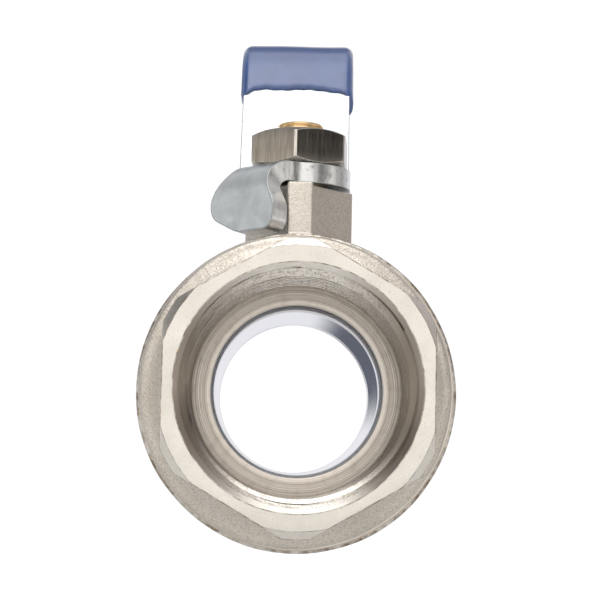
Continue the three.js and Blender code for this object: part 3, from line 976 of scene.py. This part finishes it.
def cast_nickel():
    """The sandblasted skin of the castings."""
    material, place = surface("nickel_cast", NICKEL_WARM, 1.0, 0.45)
    grain = noise(place, 0.3, 3.0)
    lumps = noise(place, 1.1, 3.0)
    blotch = remap(noise(place, 9.0), 0.35, 0.65)
    colour = mix(blotch, (0.755, 0.71, 0.65), (0.68, 0.635, 0.575))
    colour = mix(remap(grain, 0.48, 0.68, 0.0, 0.65), colour, (0.44, 0.39, 0.335))
    pits = product(edge_mask(material, 0.3), remap(noise(place, 0.9, 6.0), 0.38, 0.66))
    colour = mix(product(pits, 0.8), colour, TARNISH)
    rough = remap(grain, 0.3, 0.7, 0.36, 0.5)
    normal = bump(lumps, 0.09)
    normal = bump(grain, 0.08, normal)
    return drive(material, base_color=colour, roughness=rough, normal=normal)


def threaded_nickel():
    """The cut threads: bright flanks, dull brown crests, streaks along the cut, and painted shade at both
    sides.
    """
    material, place = surface("nickel_thread", NICKEL_WARM, 1.0, 0.34)
    radius = axis_distance(place, "Y")
    crest = remap(radius, (PIPE_MINOR + 0.03) * MM, (PIPE_MINOR + 0.13) * MM, 1.0, 0.0)
    mouth = remap(radius, (PIPE_MAJOR + 0.02) * MM, (PIPE_MAJOR + 0.2) * MM)
    streak = noise(scaled(place, 0.35, 2.2, 0.35), 0.8, 4.0)
    aside = vector_math("LENGTH", scaled(place, 1, 0, 0))
    # painted shade: the colour darkens from the top and bottom of the bore towards its left and right sides,
    # standing in for the dark reflections there
    side_shade = remap(aside, 6 * MM, 19 * MM)
    colour = mix(side_shade, (0.97, 0.93, 0.875), (0.31, 0.27, 0.225))
    colour = mix(remap(streak, 0.54, 0.7, 0.0, 0.5), colour, (0.34, 0.29, 0.24))
    grain = remap(noise(place, 0.4, 4.0), 0.46, 0.66, 0.0, 0.55)
    colour = mix(grain, colour, (0.34, 0.29, 0.24))
    colour = mix(product(crest, 0.85), colour, (0.16, 0.13, 0.10))
    # the mouth's cone carries the same painted side shade
    cone = mix(side_shade, (0.96, 0.93, 0.88), (0.46, 0.41, 0.36))
    colour = mix(mouth, colour, cone)
    rough = remap(streak, 0.3, 0.7, 0.26, 0.4)
    normal = bump(streak, 0.02)
    normal = bump(noise(place, 0.3), 0.012, normal)
    return drive(material, base_color=colour, roughness=rough, normal=normal)


def turned_nickel():
    """Faces turned on the lathe: concentric tool marks."""
    material, place = surface("nickel_turned", NICKEL, 1.0, 0.3)
    marks = ring_noise(place, "Y", 0.3)
    bands = ring_noise(place, "Y", 1.1)
    stains = remap(noise(place, 2.0, 4.0), 0.5, 0.75, 0.0, 0.4)
    colour = mix(remap(bands, 0.35, 0.65), (0.83, 0.775, 0.71), (0.79, 0.73, 0.665))
    colour = mix(remap(marks, 0.48, 0.66, 0.0, 0.7), colour, (0.44, 0.385, 0.33))
    colour = mix(stains, colour, (0.46, 0.40, 0.34))
    rough = remap(bands, 0.3, 0.7, 0.28, 0.4)
    normal = bump(marks, 0.03)
    return drive(material, base_color=colour, roughness=rough, normal=normal)


def polished_chrome():
    """The ball: nearly a mirror, with faint smears."""
    material, place = surface("chrome_polished", (0.80, 0.81, 0.86), 1.0, 0.07)
    smears = noise(place, 6.0, 3.0)
    return drive(material, roughness=remap(smears, 0.35, 0.65, 0.05, 0.1))


def turned_brass():
    """The stem: satin brass with fine turning marks."""
    material, place = surface("brass_turned", (0.80, 0.56, 0.26), 1.0, 0.3)
    clouds = remap(noise(place, 1.2, 3.0), 0.35, 0.65)
    colour = mix(clouds, (0.93, 0.72, 0.44), (0.82, 0.60, 0.33))
    normal = bump(ring_noise(place, "Z", 0.12), 0.012)
    return drive(material, base_color=colour, normal=normal)


def zinc_plate():
    """The rolled faces of the lever: satin blue-white zinc, with painted shade along the edges."""
    material, place = surface("zinc_rolled", (0.70, 0.73, 0.755), 1.0, 0.34)
    clouds = remap(noise(place, 3.5, 4.0), 0.35, 0.65)
    colour = mix(clouds, (0.72, 0.755, 0.765), (0.60, 0.64, 0.66))
    scuffs = remap(noise(scaled(place, 1, 1, 2.5), 1.6, 5.0), 0.62, 0.72, 0.0, 0.3)
    colour = mix(scuffs, colour, (0.42, 0.445, 0.455))
    # painted shade: a dark line along each edge of the plate
    colour = mix(product(edge_mask(material, 0.5), 0.75), colour, ZINC_EDGE_SHADE)
    rough = remap(noise(place, 1.5, 3.0), 0.3, 0.7, 0.27, 0.42)
    normal = bump(noise(place, 0.5, 3.0), 0.012)
    normal = bump(noise(place, 5.0, 2.0), 0.05, normal)
    return drive(material, base_color=colour, roughness=rough, normal=normal)


def zinc_sheared():
    """The lever's stamped side: a shiny burnished band and torn dark patches, with painted shade along its
    edges.
    """
    material, place = surface("zinc_sheared", (0.72, 0.74, 0.76), 1.0, 0.22)
    torn = noise(scaled(place, 1, 1, 0.7), 1.1, 5.0)
    patch = remap(torn, 0.57, 0.72)
    colour = mix(patch, (0.86, 0.875, 0.885), (0.52, 0.54, 0.55))
    # painted shade: a fainter dark line along each edge
    colour = mix(product(edge_mask(material, 0.3), 0.5), colour, ZINC_EDGE_SHADE)
    rough = remap(patch, 0.0, 1.0, 0.28, 0.45)
    normal = bump(torn, 0.07)
    return drive(material, base_color=colour, roughness=rough, normal=normal)


def brushed_nut():
    """Nickel drawn along the nut's axis before plating, its edges lightened partly by wear and partly by a
    painted highlight.
    """
    material, place = surface("nickel_brushed", NICKEL, 1.0, 0.24)
    lines = noise(scaled(place, 1, 1, 0.06), 0.45, 4.0)
    colour = mix(remap(lines, 0.38, 0.62), (0.78, 0.74, 0.68), (0.50, 0.455, 0.40))
    # lighter patches along the edges: partly worn plating, partly a painted highlight
    worn_and_highlit = product(edge_mask(material, 0.14), remap(noise(place, 0.8, 4.0), 0.4, 0.5))
    colour = mix(product(worn_and_highlit, 0.4), colour, (0.85, 0.83, 0.80))
    rough = remap(lines, 0.3, 0.7, 0.16, 0.26)
    normal = bump(lines, 0.012)
    return drive(material, base_color=colour, roughness=rough, normal=normal)


def dipped_vinyl():
    """Soft blue plastisol: a clear gloss over a slightly uneven skin."""
    material, place = surface("vinyl_dipped", (0.03, 0.085, 0.36), 0.0, 0.34, coat_weight=1.0,
                              coat_roughness=0.22, coat_ior=1.6, sheen_weight=0.1, ior=1.6)
    clouds = remap(noise(place, 4.0, 3.0), 0.35, 0.65)
    colour = mix(clouds, (0.028, 0.088, 0.30), (0.02, 0.068, 0.245))
    normal = bump(noise(place, 1.6, 3.0), 0.035)
    return drive(material, base_color=colour, normal=normal)


def ptfe_plastic():
    """White and slightly translucent."""
    material, place = surface("ptfe_turned", (0.86, 0.86, 0.84), 0.0, 0.42, subsurface_weight=0.15,
                              subsurface_scale=0.001)
    return drive(material, normal=bump(noise(place, 0.6, 3.0), 0.01))


def seal_rubber():
    """Matt black."""
    material, place = surface("rubber_matt", (0.02, 0.02, 0.022), 0.0, 0.55)
    return drive(material, normal=bump(noise(place, 0.4, 3.0), 0.02))


# ---------------- every piece in its place

# in the order of MACHINED, CAST, THREADED, SHELF and WORN
casting = [machined_nickel(), cast_nickel(), threaded_nickel(), turned_nickel(), worn_nickel()]
ptfe = [ptfe_plastic()]
rubber = [seal_rubber()]

PIECES = [  # (object, the CAD node it stands for, material slot, materials), by the body they ride on
    ("valve_body", [
        (end_cap(), "end_cap", "nickel_plated_brass", casting),
        (body(), "body", "nickel_plated_brass", casting),
        (plain_ring("joint_seal_ring", "joint_seal", SEAL_BORE, "Y"), "joint_seal", "ptfe", ptfe),
        (seat("seat_ring_front", -1), "seat_front", "ptfe", ptfe),
        (seat("seat_ring_rear", 1), "seat_rear", "ptfe", ptfe),
        (plain_ring("thrust_washer_ring", "thrust_washer", WASHER_BORE, "Z"), "thrust_washer", "ptfe", ptfe),
    ]),
    ("ball", [
        (ball(), "ball", "ball_chrome", [polished_chrome()]),
    ]),
    ("lever_and_stem", [
        (stem(), "stem", "stem_brass", [turned_brass()]),
        (o_ring("o_ring_lower", "stem_o_ring_lower"), "stem_o_ring_lower", "seal_rubber", rubber),
        (o_ring("o_ring_upper", "stem_o_ring_upper"), "stem_o_ring_upper", "seal_rubber", rubber),
        (lever(), "lever", "zinc_plated_steel", [zinc_plate(), zinc_sheared()]),
        (grip_sleeve(), "grip_sleeve", "blue_vinyl", [dipped_vinyl()]),
        (handle_nut(), "handle_nut", "nickel_plated_nut", [brushed_nut()]),
    ]),
]


def dress(piece, materials):
    """The materials by number, whatever empty slots the piece has."""
    slots = piece.data.materials
    for number, material in enumerate(materials):
        if number < len(slots):
            slots[number] = material
        else:
            slots.append(material)
    while len(slots) > len(materials):
        slots.pop()


for cad_body, riding in PIECES:
    for piece, cad_node, slot_name, materials in riding:
        dress(piece, materials)
        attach(piece, cad_body)
        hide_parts(cad_node)


# ---------------- studio

BACKDROP = 1.05  # just over white
SKY_BASE = (0.62, 0.61, 0.60)
SKY = [  # (direction, full within, fading out by, in degrees, colour), later ones over earlier ones
    ((0, 1, 0), 25, 70, (0.85, 0.85, 0.88)),
    ((-0.14, 1, -0.03), 4.5, 8.5, (0.12, 0.13, 0.16)),
    ((-1, 0, 0), 20, 45, (0.85, 0.85, 0.85)),
    ((-0.74, 0.63, 0.30), 10, 22, (0.24, 0.24, 0.26)),
    ((-0.75, -0.64, -0.08), 10, 24, (0.88, 0.85, 0.82)),
    ((-0.95, -0.31, 0.17), 6, 13, (0.44, 0.40, 0.355)),
    ((-0.76, -0.26, 0.61), 10, 28, (0.15, 0.145, 0.14)),
    ((1, 0, 0), 22, 48, (0.35, 0.33, 0.315)),
    ((0.95, -0.31, -0.05), 10, 22, (1.1, 1.05, 1.0)),
    ((0.76, -0.64, -0.2), 12, 20, (1.2, 1.15, 1.1)),
    ((0.70, -0.20, 0.69), 10, 26, (0.50, 0.47, 0.47)),
    ((0, 0.62, 0.78), 12, 26, (0.22, 0.22, 0.25)),
    ((0, -0.34, 0.94), 18, 36, (1.6, 1.57, 1.52)),
    ((0, -0.69, 0.71), 16, 34, (2.3, 2.25, 2.2)),
    ((0.08, -1, 0.1), 34, 50, (1.05, 1.015, 0.965)),
    ((0.744, -0.634, 0.27), 13, 19, (0.005, 0.005, 0.004)),
]


def lobe(look, direction, inner, outer):
    """1 within the inner angle of a direction, 0 beyond the outer one."""
    dot = vector_math("DOT_PRODUCT", look, tuple(Vector(direction).normalized()))
    low, high = cos(radians(outer)), cos(radians(inner))
    inputs = {"Value": dot, "From Min": low, "From Max": high}
    return add_node(look.id_data, "MapRange", inputs, interpolation_type="SMOOTHSTEP").outputs["Result"]


def white_to_camera(tree, kind, otherwise):
    """White, from that kind of shader, for what the camera sees directly, and else the other shader."""
    white = add_node(tree, kind, {"Color": (1, 1, 1, 1), "Strength": BACKDROP})
    seen = add_node(tree, "LightPath").outputs["Is Camera Ray"]
    choice = add_node(tree, "MixShader", {0: seen, 1: otherwise, 2: white.outputs[0]})
    return choice.outputs[0]


def studio():
    """Large soft cards round the object, seen only in its surfaces; the backdrop itself is white."""
    world = bpy.data.worlds.new("studio")
    bpy.context.scene.world = world
    world.use_nodes = True
    tree = world.node_tree
    tree.nodes.clear()
    look = add_node(tree, "TexCoord").outputs["Generated"]
    colour = SKY_BASE
    for direction, inner, outer, radiance in SKY:
        colour = mix(lobe(look, direction, inner, outer), colour, radiance)
    cards = add_node(tree, "Background", {"Color": colour, "Strength": 1.0})
    choice = white_to_camera(tree, "Background", cards.outputs[0])
    add_node(tree, "OutputWorld", {"Surface": choice})


def floor():
    """A pale sheet under the hanging valve. To the camera it is as white as the backdrop."""
    size, height = 1000, -150
    corners = [(-size, -size, height), (size, -size, height), (size, size, height), (-size, size, height)]
    sheet = make_object("floor", corners, [(0, 1, 2, 3)])
    material = surface("floor_pale", (0.75, 0.75, 0.74), 0.0, 0.9)[0]
    tree = material.node_tree
    pale = tree.nodes["Principled BSDF"].outputs[0]
    choice = white_to_camera(tree, "Emission", pale)
    tree.links.new(choice, tree.nodes["Material Output"].inputs["Surface"])
    sheet.data.materials.append(material)


def soft_light(name, place, watts, size):
    """A square area light aimed at the middle of the ball."""
    data = bpy.data.lights.new(name, "AREA")
    data.energy = watts
    data.size = size * MM
    light = bpy.data.objects.new(name, data)
    light.location = Vector(place) * MM
    light.rotation_euler = (-light.location).to_track_quat("-Z", "Y").to_euler()
    bpy.context.scene.collection.objects.link(light)


CAMERA_PLACE = (-4.914, -291.874, -11.420)
CAMERA_PITCH, CAMERA_YAW, CAMERA_ROLL = radians(6.024), radians(1.088), radians(1.243)
CAMERA_LENS = 86.91  # on a sensor 36 mm wide


def camera():
    """In front of the inlet and a little below the bore, looking slightly up."""
    data = bpy.data.cameras.new("camera")
    data.sensor_width = 36.0
    data.lens = CAMERA_LENS
    data.clip_start = 0.01
    viewer = bpy.data.objects.new("camera", data)
    place = Matrix.Translation(Vector(CAMERA_PLACE) * MM)
    turn = Matrix.Rotation(-CAMERA_YAW, 4, "Z") @ Matrix.Rotation(pi / 2 + CAMERA_PITCH, 4, "X")
    viewer.matrix_world = place @ turn @ Matrix.Rotation(CAMERA_ROLL, 4, "Z")
    bpy.context.scene.collection.objects.link(viewer)
    bpy.context.scene.camera = viewer


studio()
floor()
soft_light("key_above", (-150, -500, 600), 0.4, 400)
camera()
bpy.context.scene.view_settings.view_transform = "Standard"
